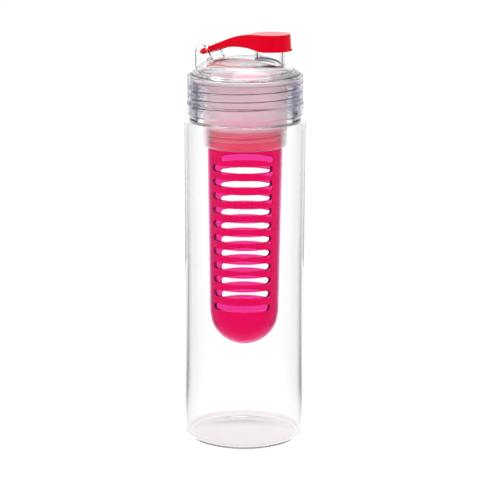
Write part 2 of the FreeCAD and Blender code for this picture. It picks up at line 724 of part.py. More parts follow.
def make_flip_cap():
    """Red flip cap: hinge barrel, arched lever with a hollow underside, and a cup for the spout."""
    hollow = make_lever_hollow()
    body = new_body("flip_cap")
    side = outline(new_sketch(body, "CapSide", "XZ_Plane"), [
        ("-slope_start_back", "slope_start_level"),
        ("-arch_start_back", "arch_start_level"),
        ("-arch_peak_back", "arch_peak_level"),
        ("spout_offset", "cap_bottom"),
        ("cap_reach", "cap_bottom"),
        ("cap_reach", "cap_top"),
        ("-slope_end_back", "cap_top"),
    ])
    blank = raised(body, "CapBlank", side, "cap_blank_width", midplane=True)
    doc.recompute()
    bend = cross_edge(blank, "-slope_end_back", "cap_top")
    crown = rounded(body, "CapCrown", blank, bend, "crown_blend")
    peak = cross_edge(crown, "-arch_peak_back", "arch_peak_level")
    arch = rounded(body, "CapArch", crown, peak, "arch_round")
    toe = cross_edge(arch, "spout_offset", "cap_bottom")
    rounded(body, "CapToe", arch, toe, "toe_round")
    trim = cap_plan(frame_outline(new_sketch(body, "CapPlan", "XY_Plane")))
    sides = cut(body, "CapSides", trim)
    doc.recompute()
    rounded(body, "CapRim", sides, top_rim_edges(sides), "cap_edge_radius")

    barrel = circle(new_sketch(body, "BarrelEnd", "XZ_Plane"), "-hinge_offset", "hinge_level",
                    "barrel_radius")
    raised(body, "Barrel", barrel, "barrel_length", midplane=True)
    cup = circle(new_sketch(body, "CupInside", "XY_Plane", "cap_ceiling"), "spout_offset", "0",
                 "cap_bore_radius")
    cut(body, "Cup", cup, "cup_depth")
    doc.recompute()
    under = body.newObject("PartDesign::Boolean", "LeverHollow")
    under.setObjects([hollow])
    under.Type = "Cut"
    doc.recompute()

    lip = outline(new_sketch(body, "LipPlan", "XY_Plane", "cap_bottom"), [
        ("lip_start", "-lip_half_width"),
        ("lip_end", "-lip_half_width"),
        ("lip_end", "lip_half_width"),
        ("lip_start", "lip_half_width"),
    ])
    raised(body, "Lip", lip, "lip_thickness")
    hole = circle(new_sketch(body, "BarrelHole", "XZ_Plane"), "-hinge_offset", "hinge_level",
                  "barrel_hole_radius")
    cut(body, "PinBore", hole)
    doc.recompute()
    return body


def make_hinge_pin():
    """Pin through both ears and the cap's barrel."""
    body = new_body("hinge_pin")
    end = circle(new_sketch(body, "PinSection", "XZ_Plane"), "-hinge_offset", "hinge_level",
                 "pin_radius")
    rod = raised(body, "PinRod", end, "pin_length", midplane=True)
    doc.recompute()
    edges = ["Edge%d" % number for number, edge in enumerate(rod.Shape.Edges, start=1)
             if isinstance(edge.Curve, Part.Circle)]
    bevelled(body, "PinEnds", rod, edges, "pin_chamfer")
    return body


def make_spout_seal():
    """Soft seal in the flip cap: a disc under the cap's roof with a tapered plug for the spout."""
    body = new_body("spout_seal")
    section = outline(new_sketch(body, "SealSection", "XZ_Plane"), [
        ("0", "plug_bottom"),
        ("plug_end_radius", "plug_bottom"),
        ("plug_top_radius", "seal_bottom"),
        ("seal_radius", "seal_bottom"),
        ("seal_radius", "cap_ceiling"),
        ("0", "cap_ceiling"),
    ])
    turned(body, "PartDesign::Revolution", "SealBlank", section)
    bind(body, "Placement.Base.x", "spout_offset")
    return body


nodes = [
    make_bottle_body(),
    make_lid(),
    make_lid_gasket(),
    make_infuser_collar(),
    make_infuser_basket(),
    make_flip_cap(),
    make_hinge_pin(),
    make_spout_seal(),
]
doc.recompute()

for item in doc.Objects:
    if "Invalid" in item.State or "Error" in item.State:
        raise RuntimeError("%s did not compute" % item.Name)
    if item.TypeId in ("PartDesign::Pocket", "PartDesign::Groove", "PartDesign::Boolean"):
        if item.Shape.Volume > item.BaseFeature.Shape.Volume - TOUCH:
            raise RuntimeError("%s cut nothing" % item.Name)
for node in nodes:
    if node.Shape.isNull() or not node.Shape.isValid() or not node.Shape.Solids:
        raise RuntimeError("%s has no valid solid" % node.Label)

os.makedirs("parts", exist_ok=True)
for node in nodes:
    node.Shape.exportStep("parts/%s.step" % node.Label)
    print(node.Label, len(node.Shape.Solids), round(node.Shape.Volume, 1), node.Shape.BoundBox)
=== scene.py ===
"""Fruit infuser water bottle: the looks of its pieces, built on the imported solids.

Lengths are in millimetres until surface() puts them into a mesh in metres. The studio is in metres.
"""

import math

import bmesh
import bpy
import numpy as np
from mathutils import Euler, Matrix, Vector


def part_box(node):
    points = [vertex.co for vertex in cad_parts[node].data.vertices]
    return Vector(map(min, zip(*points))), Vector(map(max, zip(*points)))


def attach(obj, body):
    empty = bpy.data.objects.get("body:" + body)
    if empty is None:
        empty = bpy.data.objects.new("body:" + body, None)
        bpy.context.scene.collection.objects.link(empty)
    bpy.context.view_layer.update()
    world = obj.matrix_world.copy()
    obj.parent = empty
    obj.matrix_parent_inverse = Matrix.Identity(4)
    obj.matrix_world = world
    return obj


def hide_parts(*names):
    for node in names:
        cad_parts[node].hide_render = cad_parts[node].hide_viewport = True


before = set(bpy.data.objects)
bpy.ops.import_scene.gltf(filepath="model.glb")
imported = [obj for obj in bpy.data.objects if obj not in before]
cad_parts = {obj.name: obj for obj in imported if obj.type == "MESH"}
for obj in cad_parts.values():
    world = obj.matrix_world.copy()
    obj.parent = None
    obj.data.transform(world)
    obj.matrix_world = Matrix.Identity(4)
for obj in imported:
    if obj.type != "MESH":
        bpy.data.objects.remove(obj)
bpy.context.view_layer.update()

MM = 0.001
TURN = 2 * math.pi
# Points round a turned piece, how close two points count as one, and the angle that counts as an edge.
SIDES = 192
WELD = 2e-6
CREASE = math.radians(32)


def solid(node):
    """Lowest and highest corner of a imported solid."""
    low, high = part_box(node)
    return np.array(low) / MM, np.array(high) / MM


body_high = solid("bottle_body")[1]
cap_high = solid("flip_cap")[1]
lid_low, lid_high = solid("lid")
gasket_low, gasket_high = solid("lid_gasket")
collar_low, collar_high = solid("infuser_collar")
basket_low, basket_high = solid("infuser_basket")
pin_low, pin_high = solid("hinge_pin")
seal_low, seal_high = solid("spout_seal")

# Bottle: base, wall, shoulder and neck. The inside wall bends at two heights, each given with its rounding.
BODY_RADIUS, RIM = body_high[0], body_high[2]
FOOT_ROUND, RECESS_RADIUS, RECESS_HEIGHT, RECESS_ROUND = 2.6, 31.3, 1.0, 60
BODY_BORE, FOOT_WALL, FLOOR, FLOOR_ROUND = BODY_RADIUS - 2.2, 1.7, 2.3, 1.8
UPPER_BEND, LOWER_BEND = (110, 400), (30, 300)
SHOULDER, SHOULDER_ROUND, SHOULDER_WALL = 197.5, 2.2, 0.9
NECK_RADIUS, NECK_BORE = 31.4, 28.6
NECK_RING_RADIUS, NECK_RING_TOP = 33.2, 200.5

# Lid: banded skirt, cone, crown with the roof inside it, spout and hinge ears.
LID_BOTTOM, BAND_RADIUS, SPOUT_TOP = lid_low[2], lid_high[0], lid_high[2]
LID_RADIUS, LID_BORE, BAND_TOP, BAND_STEP = 34.7, 32.6, 207.9, 0.45
LID_FOOT = LID_BORE + 1.2
SEAT, SEAT_RADIUS, LID_EDGE, EDGE_ROUND = gasket_high[2], 27.5, 224.0, 1.6
CROWN_RADIUS, CROWN_EDGE, CROWN_TOP, CROWN_ROUND = 24.4, 231.5, 235.2, 16.0
ROOF_RADIUS, ROOF_EDGE, ROOF_FOOT, ROOF_TOP = 23.8, 228.97, 226.27, 232.8
SPOUT_X, SPOUT_RADIUS, SPOUT_BORE = (seal_low[0] + seal_high[0]) / 2, 9.0, 7.2
SPOUT_SINK, SPOUT_FLARE = 1.3, 1.2
HINGE_X, HINGE_Z = (pin_low[0] + pin_high[0]) / 2, (pin_low[2] + pin_high[2]) / 2
EAR_RADIUS, EAR_LEAN, EAR_INSIDE, EAR_OUTSIDE = 4.1, math.radians(30), 6.0, 9.0
EAR_FOOT_BACK, EAR_FOOT_FRONT, EAR_EDGE, PIN_HOLE = 226.0, 232.1, 0.45, 0.92

# Screw threads of neck and lid, collar and basket. Both ridges of a pair fit in the room between the walls.
LID_PITCH, LID_TURNS, LID_RIDGE_WIDTH = 4.8, 3.1, 2.1
NECK_RIDGE, LID_RIDGE = 0.85, 0.25
NECK_THREAD_FOOT, LID_THREAD_FOOT = 202.2, 204.6
BASKET_PITCH, BASKET_TURNS, BASKET_RIDGE_WIDTH = 3.0, 2.4, 1.5
BASKET_RIDGE, COLLAR_RIDGE = 0.27, 0.27
BASKET_THREAD_FOOT, COLLAR_THREAD_FOOT = 183.2, 184.7

# Collar, basket and soft pieces.
FLANGE_RADIUS, COLLAR_TOP, COLLAR_BOTTOM = collar_high[0], collar_high[2], collar_low[2]
COLLAR_RADIUS, SOCKET_RADIUS, THROAT_RADIUS, COLLAR_CHAMFER = 25.25, 23.5, 21.9, 1.1
BASKET_TOP, BASKET_BOTTOM, BASKET_RADIUS = basket_high[2], basket_low[2], basket_high[0]
BASKET_END_RADIUS, BASKET_END, BASKET_WALL = 21.15, 79.05, 1.7
SLOT_ROWS, SLOT_TOP, SLOT_PITCH, SLOT_HEIGHT = 11, 169.8, 8.53, 4.0
SLOT_SPAN, SLOT_TURNS = math.radians(104), (math.radians(22), math.radians(202))
GASKET_BORE, PLUG_RADIUS, PLUG_TIP_RADIUS, DISC_THICKNESS = 27.8, 6.7, 6.2, 1.4

# Flip cap: side view, plan, walls, hollow under the lever, cup and lip.
CAP_TOP, CAP_BOTTOM, CAP_TIP = cap_high[2], 239.3, cap_high[0]
BARREL_RADIUS, BARREL_HALF, BARREL_BORE = 1.7, 5.7, 0.96
LEVER_SLOPE, ARCH_SLOPE, ARCH_FALL = math.radians(21.2), math.radians(19.2), math.radians(12.9)
CROWN_BLEND, ARCH_BLEND, TOE_BLEND = 58.0, 52.5, 25.0
HEAD_RADIUS, ROOT_HALF, ROOT_END, ROOT_BLEND = 12.3, 5.7, -17.9, 10.0
CAP_WALL, CAP_SKIN, CAP_EDGE, SIDE_LEAN = 2.0, 2.2, 0.3, 0.07
HOLLOW_START, HOLLOW_RUN = HINGE_X + 3.4, 1.6
CUP_INSIDE, CUP_MIDDLE, CUP_OUTSIDE, CUP_CEILING = 10.4, 11.0, 11.7, CAP_TOP - 1.2
LIP_BACK, LIP_ROOT, LIP_HALF, LIP_THICKNESS, LIP_ROUND = SPOUT_X + 8, SPOUT_X + 11.2, 4.5, 1.3, 0.45

# Finishes: the strengths that noise mostly stays between, the heights over which the base gets its painted
# shade, and the painted shade on the neck thread's flanks.
NOISE_REACH = (0.3, 0.7)
BASE_SHADE_HEIGHTS = [(0, 1.0), (2.4, 1.0), (3.8, 0.0)]
FLANK_SHADE = (0.08, 0.06, 0.11, 1)

# Studio: the even light on the pieces; where the white of the lamp tent above and of the sweep ahead fades,
# as parts along their middle directions; and the grey beside them.
PLAIN_LIGHT, SIDE_GREY = 0.5, 0.18
TENT_MIDDLE, TENT_EDGE = (0, 0, 1), (0.5, 0.85)
SWEEP_MIDDLE, SWEEP_EDGE = (-0.4695, 0.8829, 0.0), (0.7, 0.92)
# Floor: half its width and its plain colour; the distances from the object over which its mirrored white
# fades; those over which its shown white rises from one level to another, because the lamps reach less there;
# and how much of what is seen is that white.
FLOOR_HALF, FLOOR_COLOUR = 6.0, (0.9, 0.9, 0.9, 1)
MIRRORED_WHITE, RAISED_WHITE, WHITE_LEVELS, WHITE_SHARE = (0.04, 0.14), (0.25, 0.8), (1.06, 1.12), 0.86
# Camera of the photograph, with its angles in degrees, and the point that the lamps are aimed at.
CAMERA_PLACE, LENS_LENGTH, SENSOR_WIDTH = (0.4444, -0.8357, 0.3467), 119.27, 36.0
LOOK_DOWN, LOOK_ROUND, CAMERA_ROLL = 13.327, 28.173, 0.22
LAMP_AIM = (0, 0, 0.13)


def outline(corners, steps=8):
    """Points along straight sides. A corner is (across, up, rounding): an arc of that radius, tangent to both
    sides, takes the place of a corner whose rounding isn't 0."""
    spots = np.array([corner[:2] for corner in corners], float)
    runs = [spots[:1]]
    for before, here, after, rounding in zip(spots, spots[1:], spots[2:], [c[2] for c in corners[1:-1]]):
        back = (before - here) / np.linalg.norm(before - here)
        on = (after - here) / np.linalg.norm(after - here)
        if rounding == 0:
            runs.append(here[None])
            continue
        half = math.acos(float(np.clip(back @ on, -1, 1))) / 2
        middle = here + (back + on) / np.linalg.norm(back + on) * rounding / math.sin(half)
        start = here + back * rounding / math.tan(half) - middle
        stop = here + on * rounding / math.tan(half) - middle
        bend = math.pi - 2 * half
        share = np.linspace(0, 1, steps)[:, None]
        arc = np.sin((1 - share) * bend) * start + np.sin(share * bend) * stop
        runs.append(middle + arc / math.sin(bend))
    runs.append(spots[-1:])
    return np.concatenate(runs)


def dome(edge_radius, edge_height, top, steps=14):
    """Arc from an edge up or down to the axis: a circle centred on the axis through both ends."""
    rise = top - edge_height
    radius = (edge_radius ** 2 + rise ** 2) / (2 * abs(rise))
    across = np.linspace(edge_radius, 0, steps)
    fall = radius - np.sqrt(radius ** 2 - across ** 2)
    return np.stack([across, top - math.copysign(1, rise) * fall], axis=1)


def wall(radius, levels):
    """Profile points up or down at one radius, or at a radius for each level."""
    return np.stack([np.broadcast_to(radius, levels.shape), levels], axis=1)


def screw_ridge(profile, radius, foot, pitch, turns, stand, width):
    """How far a right-hand screw ridge stands out from the profile points at one radius. Its middle climbs
    one pitch a turn, its flanks are smooth steps over a third of its width, and both ends fade over a fifth
    of a turn."""
    angle = np.linspace(0, 1, SIDES, endpoint=False)[None]
    height = profile[:, 1:] - foot
    along = angle + np.round(height / pitch - angle)
    flank = np.clip((width / 2 - np.abs(height - along * pitch)) / (width / 3), 0, 1)
    ends = np.clip(np.minimum(along, turns - along) / 0.2, 0, 1)
    on_wall = np.isclose(profile[:, :1], radius)
    return stand * on_wall * flank ** 2 * (3 - 2 * flank) * ends


def on_flanks(thread, stand):
    """How much each point lies on a ridge's flanks: ten times the share of the ridge's full stand that is
    reached there, times the share that is left, and 1 at most. It is 0 on the wall and on the ridge's top."""
    share = np.abs(thread) / stand
    return np.clip(10 * share * (1 - share), 0, 1)


def turned(profile, swell=0.0, centre=0.0):
    """Grid of a turned shape: each profile point (radius, height) goes once round an upright axis at X
    centre, with swell added to its radius."""
    angle = np.linspace(0, TURN, SIDES, endpoint=False)[None]
    radius = profile[:, :1] + swell * np.ones_like(angle)
    height = profile[:, 1:] * np.ones_like(angle)
    return np.stack([centre + radius * np.cos(angle), radius * np.sin(angle), height], axis=-1)


def surface(name, *grids, ring=False, flanks=None):
    """Closed mesh over grids of points that are all alike. Columns close on themselves, and rows do on a
    ring. Points in one place become one, so a row that is drawn together to a point or a line closes an end.
    Flanks is how much each point lies on a thread's flank, from 0 to 1, kept as an attribute of that name."""
    points = np.stack(grids)
    number = np.arange(points[..., 0].size).reshape(points.shape[:3])
    if ring:
        number = np.concatenate([number, number[:, :1]], axis=1)
    beside = np.roll(number, -1, axis=2)
    quads = np.stack([number[:, :-1], beside[:, :-1], beside[:, 1:], number[:, 1:]], axis=-1).reshape(-1, 4)
    mesh = bpy.data.meshes.new(name)
    mesh.from_pydata((points.reshape(-1, 3) * MM).tolist(), [], quads.tolist())
    if flanks is not None:
        shares = mesh.attributes.new("flanks", "FLOAT", "POINT").data
        shares.foreach_set("value", flanks.ravel().astype(np.float32))
    shape = bmesh.new()
    shape.from_mesh(mesh)
    bmesh.ops.remove_doubles(shape, verts=shape.verts, dist=WELD)
    shape.to_mesh(mesh)
    shape.free()
    piece = bpy.data.objects.new(name, mesh)
    bpy.context.scene.collection.objects.link(piece)
    shade(piece)
    return piece


def shade(piece):
    """Smooth faces with crisp edges."""
    piece.data.shade_smooth()
    piece.data.set_sharp_from_angle(angle=CREASE)


def combine(piece, *steps):
    """Adds or takes away other shapes: each step is (operation, shape), and the shapes are used up."""
    for operation, tool in steps:
        change = piece.modifiers.new(operation.lower(), "BOOLEAN")
        change.operation, change.object, change.solver = operation, tool, "EXACT"
    bpy.context.view_layer.update()
    whole = bpy.data.meshes.new_from_object(piece.evaluated_get(bpy.context.evaluated_depsgraph_get()))
    piece.modifiers.clear()
    piece.data = whole
    for _, tool in steps:
        bpy.data.objects.remove(tool)
    shade(piece)
    return piece


def normals(loop):
    """Outward directions of a closed counter-clockwise plan loop, across the line between both neighbours."""
    along = np.roll(loop, -1, axis=0) - np.roll(loop, 1, axis=0)
    across = np.stack([along[:, 1], -along[:, 0]], axis=1)
    return across / np.linalg.norm(across, axis=1, keepdims=True)


def even(loop, count):
    """The same closed loop through points at equal steps along it."""
    closed = np.concatenate([loop, loop[:1]])
    length = np.concatenate([[0], np.cumsum(np.linalg.norm(np.diff(closed, axis=0), axis=1))])
    places = np.linspace(0, length[-1], count, endpoint=False)
    return np.stack([np.interp(places, length, coordinate) for coordinate in closed.T], axis=1)


def circle(across, up, radius, count=64):
    """Counter-clockwise plan loop round a point."""
    sweep = np.linspace(0, TURN, count, endpoint=False)
    return np.stack([across + radius * np.cos(sweep), up + radius * np.sin(sweep)], axis=1)


def slab(loop, low, high, rounding):
    """Grid of a flat piece: a convex plan loop goes straight up from low to high, with quarter-round edges,
    and both faces close to the loop's middle. Heights are the third coordinate."""
    bend = np.linspace(0, math.pi / 2, 5)
    inset = rounding * np.concatenate([1 - np.sin(bend), 1 - np.cos(bend)])
    height = np.concatenate([low + rounding * (1 - np.cos(bend)), high - rounding * (1 - np.sin(bend))])
    out = normals(loop)
    rows = loop[None] - inset[:, None, None] * out[None]
    middle = np.broadcast_to(loop.mean(axis=0), loop.shape)[None]
    plan = np.concatenate([middle, rows, middle])
    levels = np.concatenate([[low], height, [high]])[:, None, None]
    return np.concatenate([plan, np.broadcast_to(levels, plan.shape[:2] + (1,))], axis=2)


def crosswise(loop, low, high, rounding):
    """Slab whose plan loop stands upright, as X and height, and which reaches from low to high along Y."""
    return slab(loop, low, high, rounding)[:, ::-1][..., [0, 2, 1]]


def make_bottle():
    """Bottle: dished base, straight wall, shoulder, neck ring and threaded neck, inside and outside. The wall
    thins out towards the shoulder and the base, as in a blown bottle. The thread's upper flanks, where its
    stand falls again up the neck, are marked for painted shade."""
    thread_levels = np.linspace(NECK_RING_TOP + 0.9, RIM - 1.1, 96)
    profile = np.concatenate([
        outline([(0, RECESS_HEIGHT, 0), (RECESS_RADIUS, 0, RECESS_ROUND),
                 (BODY_RADIUS, 0, FOOT_ROUND), (BODY_RADIUS, SHOULDER, SHOULDER_ROUND),
                 (NECK_RING_RADIUS, SHOULDER, 0.5), (NECK_RING_RADIUS, NECK_RING_TOP, 0.5),
                 (NECK_RADIUS, NECK_RING_TOP, 0.4), (NECK_RADIUS, NECK_RING_TOP + 0.6, 0)]),
        wall(NECK_RADIUS, thread_levels),
        outline([(NECK_RADIUS, RIM - 0.8, 0), (NECK_RADIUS, RIM, 0.6), (NECK_BORE, RIM, 0.6),
                 (NECK_BORE, SHOULDER - SHOULDER_WALL, 0.6),
                 (BODY_RADIUS - SHOULDER_WALL, SHOULDER - SHOULDER_WALL, SHOULDER_ROUND - SHOULDER_WALL),
                 (BODY_BORE, *UPPER_BEND), (BODY_BORE, *LOWER_BEND),
                 (BODY_RADIUS - FOOT_WALL, FLOOR - RECESS_HEIGHT, FLOOR_ROUND), (0, FLOOR, 0)]),
    ])
    thread = screw_ridge(profile, NECK_RADIUS, NECK_THREAD_FOOT, LID_PITCH, LID_TURNS, NECK_RIDGE,
                         LID_RIDGE_WIDTH)
    upper = np.gradient(thread, axis=0) < 0
    return surface("bottle", turned(profile, thread), flanks=upper * on_flanks(thread, NECK_RIDGE))


def lid_outside():
    """Profile of the lid's outside from its lower edge to the axis. A wide rounding leads from the cone into
    the crown, in the place of the crown's first points."""
    crown = dome(CROWN_RADIUS, CROWN_EDGE, CROWN_TOP)
    return np.concatenate([
        outline([(LID_FOOT, LID_BOTTOM, 0), (BAND_RADIUS, LID_BOTTOM, 0.5), (BAND_RADIUS, BAND_TOP, 0.3),
                 (LID_RADIUS, BAND_TOP + BAND_STEP, 0.3), (LID_RADIUS, LID_EDGE, EDGE_ROUND),
                 (CROWN_RADIUS, CROWN_EDGE, CROWN_ROUND), (*crown[2], 0)]),
        crown[3:],
    ])


def roof_level(across, out):
    """Height of the lid's outside at a distance from the axis."""
    top = lid_outside()[::-1]
    return np.interp(np.hypot(across, out), top[:, 0], top[:, 1])


def make_lid():
    """Lid: turned skirt with an inside thread, cone and crown; spout and hinge ears are added to it, and the
    spout's bore and the pin's hole are taken away."""
    thread_levels = np.linspace(SEAT - 1.0, LID_BOTTOM + 1.2, 100)
    roof = dome(ROOF_RADIUS, ROOF_EDGE, ROOF_TOP)[::-1]
    profile = np.concatenate([
        roof[:-3],
        outline([(*roof[-3], 0), (ROOF_RADIUS, ROOF_EDGE, CROWN_ROUND), (SEAT_RADIUS, ROOF_FOOT, 0.5),
                 (SEAT_RADIUS, SEAT, 0.3), (LID_BORE, SEAT, 0.6), (LID_BORE, SEAT - 0.8, 0)]),
        wall(LID_BORE, thread_levels),
        outline([(LID_BORE, LID_BOTTOM + 0.9, 0), (LID_BORE, LID_BOTTOM, 0.5),
                 (LID_FOOT, LID_BOTTOM, 0)])[:-1],
        lid_outside(),
    ])
    thread = -screw_ridge(profile, LID_BORE, LID_THREAD_FOOT, LID_PITCH, LID_TURNS, LID_RIDGE,
                          LID_RIDGE_WIDTH)
    lid = surface("screw_lid_shell", turned(profile, thread))

    tube = turned(np.concatenate([
        [[0, 0]],
        outline([(SPOUT_RADIUS, 0, 0), (SPOUT_RADIUS, SPOUT_TOP, 0.7), (0, SPOUT_TOP, 0)]),
    ]), centre=SPOUT_X)
    tube[:2, :, 2] = roof_level(tube[:2, :, 0], tube[:2, :, 1]) - SPOUT_SINK
    bore = turned(outline([(0, ROOF_FOOT, 0), (SPOUT_BORE, ROOF_FOOT, 0), (SPOUT_BORE, SPOUT_TOP - 0.5, 0.8),
                           (SPOUT_BORE + SPOUT_FLARE, SPOUT_TOP + SPOUT_FLARE, 0),
                           (0, SPOUT_TOP + SPOUT_FLARE, 0)]), centre=SPOUT_X)

    bend = np.linspace(EAR_LEAN, math.pi, 40)
    top = np.stack([HINGE_X + EAR_RADIUS * np.cos(bend), HINGE_Z + EAR_RADIUS * np.sin(bend)], axis=1)
    foot_front = top[0, 0] + (top[0, 1] - EAR_FOOT_FRONT) * math.tan(EAR_LEAN)
    foot = outline([(*top[-1], 0), (top[-1, 0], EAR_FOOT_BACK, 0.8), (foot_front, EAR_FOOT_FRONT, 0.8),
                    (*top[0], 0)])
    ear = even(np.concatenate([top, foot[1:-1]]), 120)
    far_ear = crosswise(ear, EAR_INSIDE, EAR_OUTSIDE, EAR_EDGE)
    near_ear = crosswise(ear, -EAR_OUTSIDE, -EAR_INSIDE, EAR_EDGE)
    hole = crosswise(circle(HINGE_X, HINGE_Z, PIN_HOLE), -EAR_OUTSIDE - 1, EAR_OUTSIDE + 1, 0.1)
    return combine(
        lid,
        ("UNION", surface("spout", tube)),
        ("UNION", surface("near_ear", near_ear)),
        ("UNION", surface("far_ear", far_ear)),
        ("DIFFERENCE", surface("spout_bore", bore)),
        ("DIFFERENCE", surface("pin_hole", hole)),
    )


def make_gasket():
    """Lid gasket: a flat soft ring with rounded edges."""
    outer, low, high = gasket_high[0], gasket_low[2], gasket_high[2]
    middle = (GASKET_BORE + outer) / 2
    profile = outline([(middle, low, 0), (outer, low, 0.4), (outer, high, 0.4), (GASKET_BORE, high, 0.4),
                       (GASKET_BORE, low, 0.4), (middle, low, 0)])
    return surface("lid_gasket_ring", turned(profile[:-1]), ring=True)


def make_collar():
    """Collar: flange on the bottle's rim, throat, and a socket with an inside thread and a chamfered foot."""
    thread_levels = np.linspace(BASKET_TOP - 0.6, COLLAR_BOTTOM + 0.9, 64)
    middle = (SOCKET_RADIUS + COLLAR_RADIUS) / 2
    profile = np.concatenate([
        outline([(middle, COLLAR_BOTTOM, 0), (COLLAR_RADIUS - COLLAR_CHAMFER, COLLAR_BOTTOM, 0.2),
                 (COLLAR_RADIUS, COLLAR_BOTTOM + COLLAR_CHAMFER, 0.3),
                 (COLLAR_RADIUS, RIM, 0.6), (FLANGE_RADIUS, RIM, 0.35), (FLANGE_RADIUS, COLLAR_TOP, 0.5),
                 (THROAT_RADIUS, COLLAR_TOP, 0.6), (THROAT_RADIUS, BASKET_TOP, 0.3),
                 (SOCKET_RADIUS, BASKET_TOP, 0.3), (SOCKET_RADIUS, BASKET_TOP - 0.4, 0)]),
        wall(SOCKET_RADIUS, thread_levels),
        outline([(SOCKET_RADIUS, COLLAR_BOTTOM + 0.6, 0), (SOCKET_RADIUS, COLLAR_BOTTOM, 0.3),
                 (middle, COLLAR_BOTTOM, 0)]),
    ])[:-1]
    thread = -screw_ridge(profile, SOCKET_RADIUS, COLLAR_THREAD_FOOT, BASKET_PITCH, BASKET_TURNS,
                          COLLAR_RIDGE, BASKET_RIDGE_WIDTH)
    return surface("infuser_collar_ring", turned(profile, thread), ring=True,
                   flanks=on_flanks(thread, COLLAR_RIDGE))


def slot_cutter(level, turn):
    """Grid of one slot's room: a level stadium loop in angle and height, carried outwards from inside the
    wall to past it, and opened out round the wall's outer edge."""
    radius = np.interp(level, [BASKET_END, BASKET_TOP], [BASKET_END_RADIUS, BASKET_RADIUS])
    half = SLOT_HEIGHT / 2
    reach = SLOT_SPAN / 2 * radius - half
    sweep = np.linspace(-math.pi / 2, math.pi / 2, 13)
    right = np.stack([reach + half * np.cos(sweep), half * np.sin(sweep)], axis=1)
    run = np.linspace(reach, -reach, 42)[1:-1]
    upper = np.stack([run, np.full(len(run), half)], axis=1)
    loop = np.concatenate([right, upper, -right, -upper])
    out = normals(loop)
    # How far outside the wall each loop lies, and how much it has opened out there.
    depth = np.array([-6.0, -0.5, -0.22, 0.0, 0.6, 3.0])
    grow = np.array([0.0, 0.0, 0.08, 0.34, 0.9, 0.9])
    plan = loop[None] + grow[:, None, None] * out[None]
    spine = np.stack([np.clip(loop[:, 0], -reach, reach), np.zeros(len(loop))], axis=1)[None]
    plan = np.concatenate([spine, plan, spine])
    ray = radius + np.concatenate([depth[:1], depth, depth[-1:]])[:, None]
    angle = turn + plan[..., 0] / radius
    return np.stack([ray * np.sin(angle), -ray * np.cos(angle), level + plan[..., 1]], axis=-1)


def make_basket():
    """Fruit basket: tapered tube with a round end and a thread at its top, open above, with two columns of
    slots. Its radius grows evenly with the height."""
    thread_levels = np.linspace(COLLAR_BOTTOM + 0.3, BASKET_TOP - 0.6, 72)
    levels = np.linspace(BASKET_END, COLLAR_BOTTOM, 26)[1:]
    taper = (BASKET_RADIUS - BASKET_END_RADIUS) / (BASKET_TOP - BASKET_END)
    bore, end_bore = BASKET_RADIUS - BASKET_WALL, BASKET_END_RADIUS - BASKET_WALL
    outside = np.concatenate([
        dome(BASKET_END_RADIUS, BASKET_END, BASKET_BOTTOM, steps=26)[::-1],
        wall(BASKET_END_RADIUS + taper * (levels - BASKET_END), levels),
        wall(BASKET_END_RADIUS + taper * (thread_levels - BASKET_END), thread_levels),
    ])
    profile = np.concatenate([
        outside,
        outline([(BASKET_RADIUS, BASKET_TOP - 0.5, 0), (BASKET_RADIUS, BASKET_TOP, 0.35),
                 (bore, BASKET_TOP, 0.35), (bore, BASKET_TOP - 0.5, 0)]),
        wall(end_bore + taper * (levels[::-1] - BASKET_END), levels[::-1]),
        dome(end_bore, BASKET_END, BASKET_BOTTOM + BASKET_WALL, steps=26),
    ])
    # The thread's rows have no common radius, so a radius that no other row has marks them.
    mark = -1
    marked = profile.copy()
    marked[len(outside) - len(thread_levels):len(outside), 0] = mark
    thread = screw_ridge(marked, mark, BASKET_THREAD_FOOT, BASKET_PITCH, BASKET_TURNS, BASKET_RIDGE,
                         BASKET_RIDGE_WIDTH)
    basket = surface("fruit_basket", turned(profile, thread))
    slots = [slot_cutter(SLOT_TOP - SLOT_PITCH * row, turn)
             for turn in SLOT_TURNS for row in range(SLOT_ROWS)]
    return combine(basket, ("DIFFERENCE", surface("slots", *slots)))


def cap_side():
    """Side view of the flip cap: its top and its underside as curves of X and height. The top climbs from the
    hinge barrel and bends level; the underside climbs, bends over the arch and levels out under the head."""
    start = (HINGE_X - BARREL_RADIUS * math.sin(LEVER_SLOPE), HINGE_Z + BARREL_RADIUS * math.cos(LEVER_SLOPE))
    bend = start[0] + (CAP_TOP - start[1]) / math.tan(LEVER_SLOPE)
    far, before = CAP_TIP + 5, 4
    top = outline([(*start, 0), (bend, CAP_TOP, CROWN_BLEND), (far, CAP_TOP, 0)], steps=24)
    foot = (HINGE_X + BARREL_RADIUS * math.sin(ARCH_SLOPE), HINGE_Z - BARREL_RADIUS * math.cos(ARCH_SLOPE))
    climb, fall = math.tan(ARCH_SLOPE), math.tan(ARCH_FALL)
    run = ((SPOUT_X - foot[0]) * fall + CAP_BOTTOM - foot[1]) / (climb + fall)
    under = outline([(foot[0] - before, foot[1] - before * climb, 0),
                     (foot[0] + run, foot[1] + run * climb, ARCH_BLEND), (SPOUT_X, CAP_BOTTOM, TOE_BLEND),
                     (far, CAP_BOTTOM, 0)], steps=24)
    return top, under


def cap_plan():
    """Flip cap's plan: a parallel root, straight flares and a round head, as one counter-clockwise loop."""
    run = SPOUT_X - ROOT_END
    turn = math.acos(HEAD_RADIUS / math.hypot(run, ROOT_HALF)) + math.atan2(ROOT_HALF, run)
    sweep = np.linspace(0, math.pi - turn, 60)
    head = np.stack([SPOUT_X + HEAD_RADIUS * np.cos(sweep), HEAD_RADIUS * np.sin(sweep)], axis=1)
    root = outline([(*head[-1], 0), (ROOT_END, ROOT_HALF, ROOT_BLEND), (HINGE_X, ROOT_HALF, 0.5),
                    (HINGE_X, 0, 0)], steps=12)
    half = np.concatenate([head, root[1:]])
    return even(np.concatenate([half, half[-2:0:-1] * [1, -1]]), 320)


